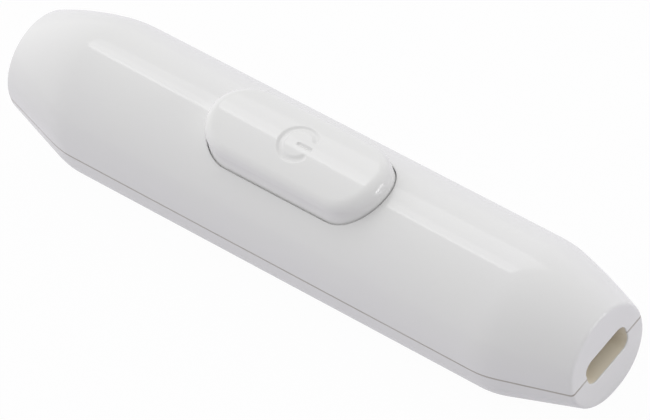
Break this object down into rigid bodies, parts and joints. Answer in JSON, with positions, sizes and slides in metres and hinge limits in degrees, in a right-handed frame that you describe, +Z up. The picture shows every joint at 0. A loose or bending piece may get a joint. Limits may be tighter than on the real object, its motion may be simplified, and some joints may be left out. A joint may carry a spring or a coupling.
{
  "type": "inline cord switch",
  "caption": "Slim white inline cord switch with a long latching push button on top and a tapered flat-cord entry at each end.",
  "frame": {"origin": "middle of the flat underside, midway between the two end faces", "axes": "+X along the cord towards the end that the picture shows open, +Y across the casing, +Z up through the button"},
  "size_m": [0.084, 0.0186, 0.0191],
  "materials": {
    "casing_plastic": "glossy warm white moulding",
    "button_plastic": "glossy warm white moulding",
    "inner_plastic": "matt beige insulating moulding",
    "brass": "plain stamped brass",
    "spring_steel": "bright spring wire",
    "zinc_steel": "zinc plated steel"
  },
  "bodies": {
    "casing": {"upper_shell": "casing_plastic", "lower_shell": "casing_plastic", "contact_block": "inner_plastic", "return_spring_1": "spring_steel", "return_spring_2": "spring_steel", "cord_clamp_1": "zinc_steel", "cord_clamp_2": "zinc_steel", "casing_screw_1": "zinc_steel", "casing_screw_2": "zinc_steel", "fixed_contact_1": "brass", "terminal_1": "brass", "terminal_screw_1": "zinc_steel", "clamp_screw_1": "zinc_steel", "fixed_contact_2": "brass", "terminal_2": "brass", "terminal_screw_2": "zinc_steel", "clamp_screw_2": "zinc_steel", "fixed_contact_3": "brass", "terminal_3": "brass", "terminal_screw_3": "zinc_steel", "clamp_screw_3": "zinc_steel", "fixed_contact_4": "brass", "terminal_4": "brass", "terminal_screw_4": "zinc_steel", "clamp_screw_4": "zinc_steel"},
    "button": {"push_button": "button_plastic", "plunger": "inner_plastic", "bridge_contact_1": "brass", "bridge_contact_2": "brass"},
    "latch": {"latch_pin": "spring_steel"}
  },
  "joints": [
    {"name": "button_press", "type": "slide", "parent": "casing", "child": "button", "axis": [0, 0, -1], "range_m": [0, 0.0022], "stiffness_N_per_m": 900, "springref_m": -0.0015, "deforming": ["return_spring_1", "return_spring_2"]},
    {"name": "latch_swing", "type": "hinge", "parent": "casing", "child": "latch", "pos_m": [0, 0.0026, 0.0031], "axis": [0, 1, 0], "range_deg": [-35.5, 0]}
  ]
}
